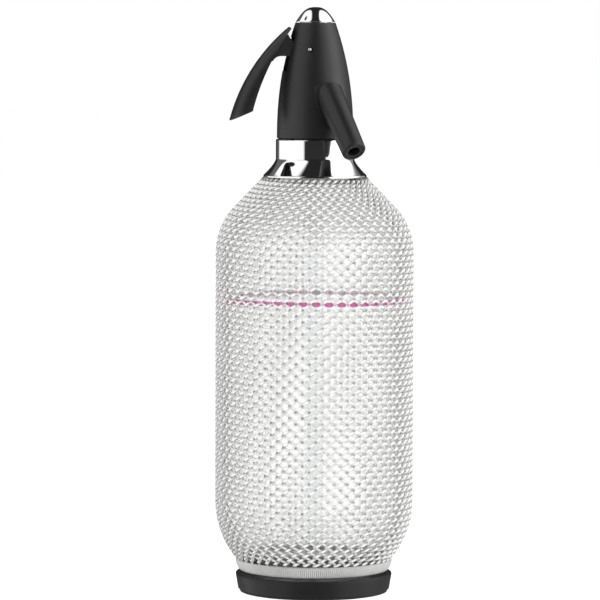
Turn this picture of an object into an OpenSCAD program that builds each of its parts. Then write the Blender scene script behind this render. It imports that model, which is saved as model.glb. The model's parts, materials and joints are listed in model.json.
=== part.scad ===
// Soda siphon: a one-litre glass bottle in a wire mesh jacket, with a chrome collar,
// a moulded head, a lever that lifts the valve spindle, and a slanting pouring nozzle.
// Millimetres, +Z up, origin at the centre of the foot. The lever points along -X.

/* [Bottle] */
// Outer radius of the glass body
glass_r = 50.9; // [45:0.1:56]
// Thickness of the glass
glass_wall = 3.5; // [2.5:0.1:4.5]
// Height of the glass underside above the table
glass_z = 5; // [4.4:0.1:6.5]
// Height at which the base curve becomes the straight wall
body_low_z = 50; // [46:0.5:60]
// Height at which the straight wall becomes the shoulder
body_high_z = 187; // [170:0.5:200]
// Radius of the base curve in profile
base_round = 45.9; // [42:0.1:48]
// Radius of the shoulder curve in profile
shoulder_round = 32.4; // [29:0.1:36]
// Steepest angle of the shoulder curve
shoulder_angle = 44; // [41:0.5:47]
// Outer radius of the glass neck
neck_r = 17.5; // [17:0.1:18.5]
// Radius of the hollow curve between shoulder and neck
neck_fillet = 5; // [3.5:0.1:6.5]
// Width added by the bead round the mouth
mouth_bead = 0.9; // [0.4:0.1:1.1]
// Length of the straight glass neck
neck_len = 8.5; // [7.5:0.1:11]
// Height of the printed fill line
fill_z = 161.5; // [120:0.5:180]
// Width of the printed fill line
fill_w = 2.5; // [1:0.1:3]
// Thickness of the printed fill line
fill_t = 0.15; // [0.1:0.01:0.2]

/* [Mesh jacket] */
// Wires in each of the two crossing layers
wire_count = 48; // [24:1:50]
// Turn of a wire for each millimetre of its climb
wire_turn = 1.16; // [0.8:0.01:1.3]
// Size of a wire from its centre to its corners
wire_r = 0.7; // [0.4:0.05:0.75]
// Free space between the glass and the inner layer, and between layers
wire_gap = 0.9; // [0.75:0.05:1]
// Sweep of the base curve that the jacket covers
wire_low = 41; // [37:0.5:43]
// Distance of the jacket's top edge below the collar flange
wire_top_drop = 2.8; // [2.4:0.1:4]
// Radius of the ring that gathers the jacket's top edge
top_ring_r = 1.1; // [0.8:0.05:1.2]
// Height of the band round the jacket's lower edge
hem_h = 6.5; // [5:0.1:7]
// Thickness of that band
hem_t = 2.6; // [1.8:0.1:2.8]
// Distance of that band outside the middle of the jacket
hem_out = 0.7; // [0:0.1:1.2]

/* [Foot] */
// Distance of the foot cup's rim inside the jacket's band
cup_inset = 0.2; // [0:0.1:0.8]
// Height of the foot cup's rim
cup_z = 10.5; // [9.5:0.05:10.6]
// Amount by which the foot cup tapers in towards the floor
cup_taper = 1.4; // [0:0.1:3]
// Wall thickness of the foot cup
cup_wall = 2.6; // [2:0.1:3.5]
// Number of ribs in the foot cup
cup_ribs = 12; // [6:1:16]
// Distance of the rubber pad's edge inside the foot cup's underside
pad_inset = 1.1; // [0.6:0.1:5]
// Thickness of the rubber pad
pad_t = 1.6; // [1.2:0.1:2]

/* [Collar] */
// Radius of the collar's upright part
collar_r = 21.5; // [21:0.1:23]
// Radius of the collar's flange
flange_r = 28.4; // [26.5:0.1:31]
// Depth of the flange's underside below the foot of the glass neck
flange_drop = 8.4; // [8:0.1:8.8]
// Height of the concave flare
flare_h = 8.8; // [7.5:0.1:10]
// Hollowness of the flare: 1 is a straight cone
flare_bow = 1.4; // [1.1:0.05:2]
// Radius of the threaded tube over the collar
tube_r = 16.4; // [15.6:0.1:17]
// Wall thickness of the threaded tube
tube_wall = 2.8; // [2.4:0.1:3.2]
// Length of the threaded tube
tube_len = 10.3; // [8:0.1:11]

/* [Head] */
// Height of the head's moulded body
head_h = 63.5; // [62:0.1:66]
// Radius of the head at its foot
head_r = 21; // [20.5:0.1:22]
// Radius of the head at its top
head_top_r = 11; // [10.8:0.1:12]
// Fullness of the head's curve: larger is fuller
head_full = 2.25; // [2:0.05:2.6]
// Width of the window for the lever
window_w = 12; // [11.6:0.1:13]
// Height of the window's sill above the head's foot
sill_h = 37; // [36.5:0.1:37.5]
// Height of the window for the lever
window_h = 18.5; // [17.5:0.1:19]
// Thickness of the moulding between the window and the valve
bell_drop = 6.7; // [6.2:0.1:7.2]
// Depth of the water way below that moulding
port_drop = 4.3; // [4:0.1:4.8]
// Height of the dome cap above the head
dome_h = 8.2; // [7.5:0.1:10]
// Radius of the chamber for the spring
chamber_r = 6.4; // [6.1:0.1:6.6]

/* [Lever] */
// Distance of the pivot behind the head's axis
pivot_x = 5.4; // [5:0.1:6]
// Height of the pivot above the head's foot
pivot_h = 48.8; // [48:0.1:49.6]
// Radius of the pivot pin
pin_r = 1; // [0.9:0.05:1.2]
// Reach of the lever from beak to tip, across
lever_x = 32.7; // [28:0.1:37]
// Drop of the lever from beak to tip
lever_z = 51.1; // [44:0.1:53]
// Bulge of the lever's back over a straight line
lever_bulge = 4.8; // [3.5:0.1:7]
// Depth of the lever's channel at the tip
lever_depth = 10.2; // [9:0.1:11.5]
// Slant of the lever's end, from level up towards the head
tip_slant = 24; // [10:1:30]
// Width of the lever
lever_w = 17; // [15:0.1:20]
// Depth of the lever's channel at the beak
beak_depth = 1.2; // [1:0.1:2.4]
// Wall thickness of the lever's channel
lever_wall = 2.2; // [1.6:0.1:2.6]
// Width of the lever's hub
hub_w = 11; // [9.4:0.1:11.2]
// Radius of the hub over the pin
hub_r = 3.4; // [2.6:0.1:3.5]
// Height of the beak above the pivot
beak_h = 12.4; // [11:0.1:13]
// Reach of the hub's level underside behind the pivot
heel_x = 14.6; // [13.5:0.1:16]
// Depth of the hub below the pivot
hub_drop = 3.6; // [3:0.1:4]
// Reach of the fork's fingers past the head's axis
finger_x = 2.2; // [1.8:0.1:3.6]

/* [Nozzle] */
// Direction of the nozzle in plan, from straight ahead towards the right
nozzle_turn = 16; // [0:1:45]
// Distance of the nozzle's mouth from the axis
nozzle_reach = 47.7; // [42:0.1:54]
// Height of the nozzle's mouth below the head's foot
nozzle_drop = 6; // [5.4:0.1:6.6]
// Radius of the nozzle at its mouth
nozzle_r = 6.6; // [6:0.1:7.2]
// Radius of the nozzle at its root
nozzle_root_r = 7.6; // [7.2:0.1:8]
// Radius of the nozzle's bore
nozzle_bore = 3.3; // [2.4:0.1:3.6]
// Width of the raised rim round the nozzle's root
eyelid_w = 1.7; // [1.2:0.1:2.2]
// Height of that rim
eyelid_h = 1; // [0.6:0.1:1.2]

/* [Valve and tube] */
// Outer radius of the valve body
valve_r = 9; // [8.4:0.1:9.4]
// Radius of the spindle's rod
rod_r = 1.6; // [1.2:0.05:1.6]
// Radius of the spindle's piston
piston_r = 3.95; // [3.4:0.05:4.4]
// Radius of the spindle's collar under the spring
seat_r = 5.5; // [4.8:0.1:5.6]
// Height of the valve seat above the head's inner roof
seat_h = 5.9; // [5.5:0.1:6.5]
// Radius of the water way in the valve seat
seat_bore = 2.2; // [1.6:0.1:2.6]
// Outer radius of the dip tube
dip_r = 5; // [4.4:0.1:5.1]
// Wall thickness of the dip tube
dip_wall = 1.5; // [1:0.1:1.8]
// Height of the dip tube's lower end above the glass floor
dip_gap = 4; // [3:0.5:12]
// Turns of the valve spring
spring_turns = 6; // [4:1:7]
// Radius of the spring's wire
spring_wire = 0.5; // [0.35:0.05:0.55]

/* [Gas inlet] */
// Height of the inlet above the head's foot
inlet_h = 21; // [20:0.1:22]
// Radius of the inlet nipple's thread
inlet_r = 6.5; // [6:0.1:6.8]
// Radius of the socket for the charger's neck
inlet_bore = 4.6; // [4.2:0.1:4.9]
// Length of the inlet nipple past the head
inlet_len = 10.5; // [9.5:0.1:12]
// Outer radius of the protective cap
inlet_cap_r = 9.2; // [8.6:0.1:9.8]
// Grip flutes round the protective cap
inlet_flutes = 12; // [8:1:16]

/* [Fits] */
// Running clearance of the pin, piston and tube
run = 0.05; // [0.03:0.01:0.08]
// Free space between parts that come apart
gap = 0.3; // [0.2:0.05:0.35]

/* [Hidden] */
$fn = 96;
eps = 0.01;

// ---- profile of the bottle ----
low_c = [glass_r - base_round, body_low_z];
high_c = [glass_r - shoulder_round, body_high_z];
cs = cos(shoulder_angle);
sn = sin(shoulder_angle);
// distance of the straight shoulder from the origin along its normal, moved out by off
function slope_d(off) = high_c[0] * cs + high_c[1] * sn + shoulder_round + off;
function slope_r(z, off) = (slope_d(off) - z * sn) / cs;
fillet_x = neck_r + neck_fillet;
fillet_z = (slope_d(neck_fillet) - fillet_x * cs) / sn;
neck_top = fillet_z + neck_len;
flange_z = fillet_z - flange_drop;
function polar(c, r, t) = [c[0] + r * cos(t), c[1] + r * sin(t)];
// the angle at which the base curve, moved out by off, is at height z
function low_t(z, off) = asin((z - low_c[1]) / (base_round + off));
// the skin of the bottle from height z0 up to the neck, moved out by off
function skin(z0, off) = concat(
    [for (i = [0:14]) polar(low_c, base_round + off, low_t(z0, off) * (1 - i / 14))],
    [for (i = [0:8]) polar(high_c, shoulder_round + off, shoulder_angle * i / 8)],
    [for (i = [0:5]) polar([fillet_x, fillet_z], neck_fillet - off,
        180 + shoulder_angle * (1 - i / 5))]);
function flip(p) = [for (i = [len(p) - 1:-1:0]) p[i]];
floor_z = glass_z + glass_wall;

module glass_bottle() {
    bead_h = 4;
    outer = concat([[0, glass_z]], skin(glass_z, 0),
        [[neck_r, neck_top - bead_h - mouth_bead], [neck_r + mouth_bead, neck_top - bead_h],
         [neck_r + mouth_bead, neck_top - mouth_bead], [neck_r, neck_top]]);
    inner = concat([[0, floor_z]], skin(floor_z, -glass_wall), [[neck_r - glass_wall, neck_top]]);
    color("aliceblue", 0.35) rotate_extrude() polygon(concat(outer, flip(inner)));
}

module ring(r1, r2, z0, z1) {
    translate([0, 0, z0]) difference() {
        cylinder(r = r2, h = z1 - z0);
        translate([0, 0, -1]) cylinder(r = r1, h = z1 - z0 + 2);
    }
}

module torus(big, small, z) translate([0, 0, z]) rotate_extrude() translate([big, 0]) circle(small, $fn = 48);

module fill_line() color("hotpink")
    ring(glass_r + eps, glass_r + eps + fill_t, fill_z - fill_w / 2, fill_z + fill_w / 2);

// ---- mesh jacket: two layers of wires that wind opposite ways over the glass ----
wire_in = wire_gap + wire_r / 2;
wire_out = wire_in + wire_r * 1.5 + wire_gap;
mesh_mid = (wire_in + wire_out) / 2;
wire_end_z = flange_z - wire_top_drop;
len_low = (base_round + mesh_mid) * wire_low * PI / 180;
len_mid = body_high_z - body_low_z;
len_arc = (shoulder_round + mesh_mid) * shoulder_angle * PI / 180;
slope_z0 = high_c[1] + (shoulder_round + mesh_mid) * sn;
len_slope = (wire_end_z - slope_z0) / cs;
// slope angle of the jacket's normal, and its point, at a climb of s millimetres
function mesh_t(s) = s < len_low ? -wire_low * (1 - s / len_low)
    : s < len_low + len_mid ? 0
    : min(shoulder_angle, (s - len_low - len_mid) / len_arc * shoulder_angle);
function mesh_p(s, off) = s < len_low ? polar(low_c, base_round + off, mesh_t(s))
    : s < len_low + len_mid ? [glass_r + off, body_low_z + s - len_low]
    : polar(high_c, shoulder_round + off, mesh_t(s))
      + max(0, s - len_low - len_mid - len_arc) * [-sn, cs];
mesh_steps = concat([for (i = [0:3]) len_low * i / 4], [for (i = [0:8]) len_low + len_mid * i / 9],
    [for (i = [0:3]) len_low + len_mid + len_arc * i / 4],
    [for (i = [0:2]) len_low + len_mid + len_arc + len_slope * i / 2]);
function around(p, a) = [p[0] * cos(a), p[0] * sin(a), p[1]];
function unit(v) = v / norm(v);
function wire_at(s, off, a, way) = around(mesh_p(s, off), a + way * wire_turn * s);
function wire_ring(s, off, a, way) = let (
    here = wire_at(s, off, a, way),
    run_dir = unit(wire_at(s + 0.01, off, a, way) - wire_at(s - 0.01, off, a, way)),
    out0 = around([cos(mesh_t(s)), sin(mesh_t(s))], a + way * wire_turn * s),
    side = unit(cross(run_dir, out0)), out = cross(side, run_dir))
    [for (k = [0:2]) here + wire_r * (cos(120 * k) * out + sin(120 * k) * side)];

module wires(off, way, start) {
    n = len(mesh_steps);
    pts = [for (w = [0:wire_count - 1]) for (i = [0:n - 1])
        for (p = wire_ring(mesh_steps[i], off, start + 360 * w / wire_count, way)) p];
    faces = [for (w = [0:wire_count - 1]) let (b = w * n * 3) each concat(
        [[b, b + 1, b + 2], [b + n * 3 - 1, b + n * 3 - 2, b + n * 3 - 3]],
        [for (i = [0:n - 2]) for (k = [0:2]) let (p = b + i * 3 + k, q = b + i * 3 + (k + 1) % 3)
            each [[p, p + 3, q], [q, p + 3, q + 3]]])];
    polyhedron(pts, faces, convexity = 10);
}

module mesh_inner_wires() color("silver") wires(wire_in, -1, 0);
module mesh_outer_wires() color("gainsboro") wires(wire_out, 1, 180 / wire_count);

// the ring that gathers the jacket under the flange
top_ring_z = flange_z - gap - top_ring_r;
module mesh_top_ring() color("silver")
    torus(slope_r(top_ring_z, mesh_mid), top_ring_r, top_ring_z);

// the band lies along the jacket's edge and leans out with it
hem_r2 = hem_t / 2;
hem_top = polar(low_c, base_round + mesh_mid, -wire_low) + [hem_out, -(hem_r2 + wire_r + 0.4)];
hem_foot = [hem_top[0] - 1.6, hem_top[1] - hem_h + hem_t];
module mesh_hem_band() color("gainsboro") rotate_extrude() polygon(concat(
    [for (i = [0:8]) hem_top + hem_r2 * [cos(180 - 22.5 * i - 13), sin(180 - 22.5 * i - 13)]],
    [for (i = [0:8]) hem_foot + hem_r2 * [cos(-22.5 * i - 13), sin(-22.5 * i - 13)]]));

// ---- foot ----
cup_r = hem_top[0] + hem_r2 - cup_inset;
pad_r = cup_r - cup_taper - pad_inset;
cup_clear = 0.4;
cup_seat_z = glass_z - gap;
function cup_bowl(n, off) = [for (i = [0:n]) let (t0 = low_t(cup_seat_z, off), t1 = low_t(cup_z, off))
    polar(low_c, base_round + off, t0 + (t1 - t0) * i / n)];
module foot_cup() {
    lip = 1.1;
    outer = concat([[0, pad_t], [cup_r - cup_taper, pad_t], [cup_r, cup_z - lip]],
        [for (i = [1:4]) [cup_r - lip + lip * cos(22.5 * i), cup_z - lip + lip * sin(22.5 * i)]],
        flip(cup_bowl(8, cup_clear)), [[0, cup_seat_z]]);
    roof = cup_bowl(6, cup_clear + cup_wall);
    well = concat([[cup_r - cup_taper - cup_wall, pad_t - 1], [cup_r - cup_wall - 0.3, cup_z - 3]],
        [for (p = flip(roof)) if (p[1] < cup_z - 3 && p[1] > pad_t + 1.2) p],
        [[roof[0][0] + 4, pad_t - 1]]);
    color("#1d1d1f") difference() {
        rotate_extrude() polygon(outer);
        difference() {
            rotate_extrude() polygon(well);
            for (i = [0:cup_ribs - 1]) rotate([0, 0, 360 * i / cup_ribs])
                translate([0, -0.8, pad_t - 2]) cube([cup_r, 1.6, cup_z]);
        }
    }
}

module foot_pad() color("#2b2b2d") difference() {
    cylinder(r = pad_r, h = pad_t);
    translate([0, 0, -1]) cylinder(r = pad_r - 10, h = 1.6);
}

// ---- collar, clamped on the glass neck, with the threaded tube for the head ----
shelf_z = neck_top + 1;
collar_top = shelf_z + 2.8;
tube_bore = tube_r - tube_wall;
tube_top = collar_top + tube_len;
head_z = collar_top + gap;
module neck_collar() {
    rim = 1.2;
    hug = neck_r + mouth_bead + 0.35;
    flare = [for (i = [0:8]) let (t = 1 - i / 8)
        [collar_r + (flange_r - 0.2 - collar_r) * pow(t, flare_bow), flange_z + rim + flare_h * (1 - t)]];
    inner = concat([[slope_r(flange_z, 0.5), flange_z]],
        [for (i = [0:4]) polar([fillet_x, fillet_z], neck_fillet - 0.5, 180 + shoulder_angle * (1 - i / 4))],
        [[neck_r + 0.5, neck_top - 6.6], [hug, neck_top - 5.4], [hug, shelf_z]]);
    color("white") rotate_extrude() polygon(concat([[flange_r - 0.4, flange_z], [flange_r, flange_z + 0.4],
        [flange_r, flange_z + rim - 0.4]], flare, [[collar_r, collar_top - 0.4], [collar_r - 0.4, collar_top],
        [tube_r, collar_top], [tube_r, tube_top - 0.6], [tube_r - 0.6, tube_top], [tube_bore, tube_top],
        [tube_bore, shelf_z]], flip(inner)));
}

module neck_seal() color("dimgray") ring(neck_r - glass_wall - 0.1, neck_r - 0.1,
    neck_top + 0.1, shelf_z - 0.1);

// ---- head ----
head_top = head_z + head_h;
roof_z = tube_top + 2.6;
module head_gasket() color("#3a3a3c") ring(tube_bore + 0.1, tube_r - 0.2, tube_top + gap, roof_z - gap);

function head_at(t) = head_top_r + (head_r - head_top_r) * (1 - pow(1 - t, head_full));
module head_body(off) rotate_extrude() polygon(concat([[0, head_z], [head_r - 0.7 + off, head_z],
    [head_r + off, head_z + 0.7]],
    [for (i = [15:-1:0]) [head_at(i / 16) + off, head_top - head_h * i / 16]], [[0, head_top]]));

pivot_z = head_z + pivot_h;
window_z = head_z + sill_h;
window_top = window_z + window_h;
bell_z = window_z - bell_drop;
port_z = bell_z - port_drop;
inlet_z = head_z + inlet_h;
mouth_z = head_z - nozzle_drop;
inlet_face = head_at(1 - inlet_h / head_h) + 2.5;
inlet_root = 14;
// the gas comes down beside the valve body
gas_y = valve_r + 2.5;
// half of the width of the head along the pin
pin_half = sqrt(pow(head_at(1 - pivot_h / head_h), 2) - pivot_x * pivot_x);

// the nozzle's axis: z runs from its mouth back up into the head
module nozzle_frame() rotate([0, 0, nozzle_turn - 90]) translate([nozzle_reach, 0, mouth_z])
    rotate([0, -45, 0]) children();
nozzle_len = 45.1;
module nozzle_cone(off, from, to) translate([0, 0, from]) cylinder(h = to - from,
    r1 = nozzle_r + off + (nozzle_root_r - nozzle_r) * from / nozzle_len,
    r2 = nozzle_r + off + (nozzle_root_r - nozzle_r) * to / nozzle_len);
// a round hole or rod along the direction of the nozzle, level
module port(r, from, to) rotate([0, 0, nozzle_turn - 90]) translate([from, 0, port_z])
    rotate([0, 90, 0]) cylinder(r = r, h = to - from);
module along_y(r, from, to, z) translate([0, from, z]) rotate([-90, 0, 0]) cylinder(r = r, h = to - from);
module drill(r, z0, z1) translate([0, 0, z0]) cylinder(r = r, h = z1 - z0);

cap_plug_z = head_top - 6.5;
module head_shell() color("#343436") difference() {
    union() {
        head_body(0);
        intersection() {
            head_body(eyelid_h);
            nozzle_frame() translate([0, 0, nozzle_len * 0.44])
                cylinder(r = nozzle_root_r + eyelid_w, h = nozzle_len * 0.58);
        }
        along_y(10.2, inlet_root, inlet_face, inlet_z);
    }
    drill(tube_r + 0.4, head_z - 1, roof_z);
    drill(valve_r + 0.2, roof_z - 1, bell_z);
    drill(piston_r + run, bell_z - 1, window_z + 1);
    translate([-head_r - 9, -window_w / 2, window_z]) cube([head_r + 17, window_w, window_h]);
    drill(chamber_r + 0.2, window_top - 1, cap_plug_z + 1);
    drill(chamber_r + 2.2, cap_plug_z - gap, head_top + 1);
    translate([-pivot_x, 0, 0]) {
        along_y(pin_r + run, -head_r, head_r, pivot_z);
        for (s = [-1, 1]) along_y(pin_r + 0.5, s * (pin_half + 0.6) - 1, s * (pin_half + 0.6) + 1, pivot_z);
    }
    nozzle_frame() nozzle_cone(0.1, 0, nozzle_len + 0.1);
    port(nozzle_bore - 0.1, valve_r - 1, 17);
    along_y(inlet_r + 0.7, inlet_root, inlet_face + 1, inlet_z);
    along_y(1, gas_y, inlet_root + 1, inlet_z);
    translate([0, gas_y, roof_z - 1]) cylinder(r = 1.2, h = inlet_z - roof_z + 1);
}

dome_z = head_top + gap;
dome_top = dome_z + dome_h;
dome_roof = dome_top - 3.8;
module dome_cap() {
    r0 = head_top_r - 0.25;
    shape = [for (i = [0:12]) let (r = cos(7.5 * i)) [r0 * r, dome_z + 0.4 + (dome_h - 0.4) * pow(1 - pow(r, 2.7), 1.2)]];
    color("white") rotate_extrude() polygon(concat([[chamber_r + 1.9, dome_z], [r0, dome_z]], shape,
        [[0, dome_roof], [chamber_r, dome_roof], [chamber_r, cap_plug_z], [chamber_r + 1.9, cap_plug_z]]));
}
module dome_seal() color("dimgray") torus(chamber_r + 2.05, 0.14, dome_z - 1.2);

// ---- valve: the spring holds the spindle down on its seat, the lever's fork lifts it ----
seat_z = roof_z + seat_h;
valve_top = bell_z - gap;
dip_top = seat_z - 2.7;
module valve_body() color("goldenrod") difference() {
    union() {
        drill(valve_r, roof_z, valve_top);
        drill(valve_r + 1.5, roof_z - 3, roof_z);
        drill(dip_r + 1.5, roof_z - 10, roof_z);
    }
    drill(dip_r + run, roof_z - 11, dip_top + 0.2);
    drill(seat_bore, dip_top, seat_z + 1);
    drill(valve_r - 3.5, seat_z, valve_top + 1);
    port(nozzle_bore - 0.3, valve_r - 5, valve_r + 1);
}

lift_z = pivot_z + hub_r + 0.4;
spring_low = lift_z + 1.4 + 0.1;
piston_z = bell_z + 0.3;
module valve_spindle() {
    groove_z = piston_z + 3.1;
    color("silver") difference() {
        union() {
            drill(rod_r, seat_z + 0.5, spring_low + 8);
            drill(valve_r - 4.8, seat_z + 2.2, seat_z + 3.5);
            drill(piston_r, piston_z, piston_z + 6.2);
            drill(seat_r, lift_z, lift_z + 1.4);
            drill(rod_r + 1.2, lift_z + 1.4, lift_z + 4);
        }
        difference() {
            drill(piston_r + 1, groove_z - 1, groove_z + 1);
            drill(piston_r - 1.5, groove_z - 1.5, groove_z + 1.5);
        }
    }
}
module valve_seal() color("dimgray") ring(rod_r + 0.05, valve_r - 4.7, seat_z + 0.1, seat_z + 2.15);
module spindle_o_ring() color("dimgray") torus(piston_r - 0.75, 0.7, piston_z + 3.1);

spring_top = dome_roof - 0.1;
spring_mean = (rod_r + 1.2 + 0.3 + chamber_r) / 2;
spring_n = spring_turns * 8;
spring_rise = spring_top - spring_low - 2 * spring_wire;
function spring_at(i) = let (a = 45 * i, u = i / spring_n)
    [spring_mean * cos(a), spring_mean * sin(a), spring_low + spring_wire + spring_rise * u];
function spring_ring(i) = let (c = spring_at(i), out = unit([c[0], c[1], 0]),
    climb = spring_rise / spring_turns / 360 * 180 / PI, go = unit([-out[1], out[0], climb / spring_mean]),
    up = cross(out, go))
    [for (k = [0:5]) c + spring_wire * (cos(60 * k) * out + sin(60 * k) * up)];
module valve_spring() {
    pts = [for (i = [0:spring_n]) for (p = spring_ring(i)) p];
    last = spring_n * 6;
    faces = concat([[for (k = [5:-1:0]) k]], [[for (k = [0:5]) last + k]],
        [for (i = [0:spring_n - 1]) for (k = [0:5]) let (p = i * 6 + k, q = i * 6 + (k + 1) % 6)
            each [[p, q, p + 6], [q, q + 6, p + 6]]]);
    least = min([for (i = [0:spring_n]) for (j = [i + 6:1:spring_n])
        norm(spring_at(i) - spring_at(j))]) - 2 * spring_wire;
    echo(str("least gap of the spring to itself, mm: ", least));
    color("silver") polyhedron(pts, faces, convexity = 8);
}

dip_low = floor_z + dip_gap;
module dip_tube() color("aliceblue", 0.5) difference() {
    ring(dip_r - dip_wall, dip_r, dip_low, dip_top);
    // a slot across the foot keeps the tube from sealing against the glass
    translate([-dip_r - 1, -1.5, dip_low - 1]) cube([2 * dip_r + 2, 3, 4]);
}

nut_z = roof_z - 11.3;
module dip_tube_nut() color("whitesmoke") difference() {
    translate([0, 0, nut_z]) cylinder(r = dip_r + 3.4, h = 7, $fn = 6);
    drill(dip_r + 1.6, roof_z - 10.2, roof_z);
    drill(dip_r + 0.15, nut_z - 1, roof_z);
}

// ---- nozzle ----
module nozzle() color("#343436") nozzle_frame() difference() {
    union() {
        translate([0, 0, 0]) cylinder(r1 = nozzle_r - 0.6, r2 = nozzle_r, h = 0.6);
        nozzle_cone(0, 0.6, nozzle_len);
    }
    translate([0, 0, -1]) cylinder(r = nozzle_bore, h = nozzle_len + 2);
    translate([0, 0, -1]) cylinder(r = nozzle_bore + 1.4, h = 11);
}
module jet_insert() color("#222224") nozzle_frame() translate([0, 0, 0.4]) difference() {
    cylinder(r = nozzle_bore + 1.35, h = 9.5);
    translate([0, 0, -1]) cylinder(r = nozzle_bore, h = 12);
}

// ---- lever: a curved channel, open towards the head, with a hub that reaches the valve ----
beak = [-(head_top_r + 3.8), pivot_z + beak_h];
tip = beak - [lever_x, lever_z];
chord = norm(tip - beak);
back_r = (chord * chord / 4 + lever_bulge * lever_bulge) / (2 * lever_bulge);
along = (tip - beak) / chord;
outward = [along[1], -along[0]];
back_c = (beak + tip) / 2 - outward * (back_r - lever_bulge);
half_sweep = asin(chord / 2 / back_r);
// inward normal, depth of the channel and rim of the lever at a share t of the way from beak to tip
function lever_in(t) = let (a = half_sweep * (2 * t - 1)) -(cos(a) * outward + sin(a) * along);
function lever_back(t) = back_c - back_r * lever_in(t);
function lever_d(t) = beak_depth + (lever_depth - beak_depth) * pow(t, 0.65);
function lever_rim(t) = lever_back(t) + lever_in(t) * lever_d(t);
// centre of the circle through three points
function circle3(a, b, c) = let (u = b - a, v = c - a, k = 2 * (u[0] * v[1] - u[1] * v[0]),
    p = u * u, q = v * v) a + [v[1] * p - u[1] * q, u[0] * q - v[0] * p] / k;
rim_c = circle3(lever_rim(0), lever_rim(0.5), lever_rim(1));
rim_r = norm(lever_rim(0) - rim_c);
back_a = atan2(outward[1], outward[0]);
// a cross-section with full shoulders, swept along the lever's back from t0 to t1
module lever_sweep(half, depth, t0, t1) rotate([90, 0, 0]) translate([back_c[0], back_c[1], 0])
    rotate([0, 0, back_a + half_sweep * (2 * t0 - 1)]) rotate_extrude(angle = 2 * half_sweep * (t1 - t0))
    polygon(concat([[back_r - lever_depth - 5, half]],
        [for (i = [0:12]) let (a = 15 * i, c = cos(a)) [back_r - lever_depth + depth * pow(sin(a), 0.77),
            half * sign(c) * pow(abs(c), 0.77)]],
        [[back_r - lever_depth - 5, -half]]));

module lever() {
    hub_top = pivot_z + hub_r;
    hub_low = pivot_z - hub_drop;
    bend = 5;
    heel = [-heel_x - pivot_x, hub_low - bend];
    throat = [-(head_at((head_top - window_top) / head_h) + 1.6), window_top];
    web = concat([lever_rim(0.05) + [-0.4, -0.4], throat, throat + [2.2, -2.7], [-window_w / 2 - pivot_x, hub_top],
        [finger_x, hub_top], [finger_x, pivot_z - 0.8], [finger_x - 2.5, hub_low]],
        [for (i = [0:5]) heel + bend * [-sin(12 * i), cos(12 * i)]],
        [for (i = [5:-1:1]) let (t = 0.088 * i) lever_rim(t) + 0.45 * (lever_back(t) - lever_rim(t))]);
    color("#343436") difference() {
        union() {
            difference() {
                lever_sweep(lever_w / 2, lever_depth, 0, 1);
                lever_sweep(lever_w / 2 - lever_wall, lever_depth - lever_wall, 0.44, 1.1);
                translate([rim_c[0], 0, rim_c[1]]) rotate([90, 0, 0])
                    cylinder(r = rim_r, h = 2 * lever_w, center = true);
                translate([tip[0], 0, tip[1]]) rotate([0, -tip_slant, 0])
                    translate([-lever_depth, -lever_w, -lever_depth]) cube([lever_depth * 3, lever_w * 2, lever_depth]);
            }
            rotate([90, 0, 0]) linear_extrude(height = hub_w, center = true) polygon(web);
        }
        translate([-pivot_x, 0, 0]) along_y(pin_r + run + 0.01, -hub_w, hub_w, pivot_z);
        // the fork's slot, round the spindle
        translate([-pivot_x - 2.4, -rod_r - 0.6, hub_low - 3]) cube([lever_depth * 2, 2 * rod_r + 1.2, window_h]);
    }
}
module lever_pin() color("white") translate([-pivot_x, 0, 0])
    along_y(pin_r, -pin_half + 0.1, pin_half - 0.1, pivot_z);

// ---- gas inlet, on the back of the head ----
inlet_tip = inlet_face + inlet_len;
module inlet_nipple() color("silver") difference() {
    union() {
        along_y(inlet_r + 0.6, inlet_root + 0.2, inlet_face + 1.5, inlet_z);
        along_y(inlet_r, inlet_face, inlet_tip, inlet_z);
    }
    along_y(1, inlet_root, inlet_face, inlet_z);
    along_y(inlet_bore, inlet_face - 0.5, inlet_tip + 1, inlet_z);
}
module piercing_pin() color("gray") difference() {
    union() {
        along_y(inlet_bore - 0.1, inlet_face - 0.4, inlet_face + 0.8, inlet_z);
        along_y(0.9, inlet_face, inlet_face + 3.6, inlet_z);
        translate([0, inlet_face + 3.6, inlet_z]) rotate([-90, 0, 0]) cylinder(r1 = 0.9, r2 = 0.2, h = 1.4);
    }
    along_y(0.35, inlet_face - 1, inlet_face + 3, inlet_z);
}
module inlet_seal() color("dimgray") translate([0, inlet_face + 0.9, inlet_z]) rotate([-90, 0, 0])
    ring(1.2, inlet_bore - 0.1, 0, 2);
cap_in = inlet_tip + 1.8;
module cap_washer() color("dimgray") translate([0, inlet_tip + gap, inlet_z]) rotate([-90, 0, 0])
    ring(inlet_bore, inlet_r - 0.1, 0, 1.2);
module protective_cap() color("#343436") difference() {
    along_y(inlet_cap_r, inlet_face + 1.5 + gap, cap_in + 2.2, inlet_z);
    along_y(inlet_r + gap, inlet_face, cap_in, inlet_z);
    for (i = [0:inlet_flutes - 1]) translate([0, 0, inlet_z]) rotate([0, 360 * i / inlet_flutes, 0])
        translate([inlet_cap_r + 0.5, 0, -inlet_z]) along_y(1.1, inlet_face, cap_in + 0.6, inlet_z);
}

glass_bottle();
fill_line();
mesh_inner_wires();
mesh_outer_wires();
mesh_top_ring();
mesh_hem_band();
foot_cup();
foot_pad();
neck_collar();
neck_seal();
head_gasket();
head_shell();
dome_cap();
dome_seal();
valve_spring();
valve_spindle();
valve_seal();
spindle_o_ring();
valve_body();
dip_tube();
dip_tube_nut();
nozzle();
jet_insert();
lever();
lever_pin();
inlet_nipple();
piercing_pin();
inlet_seal();
cap_washer();
protective_cap();
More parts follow.
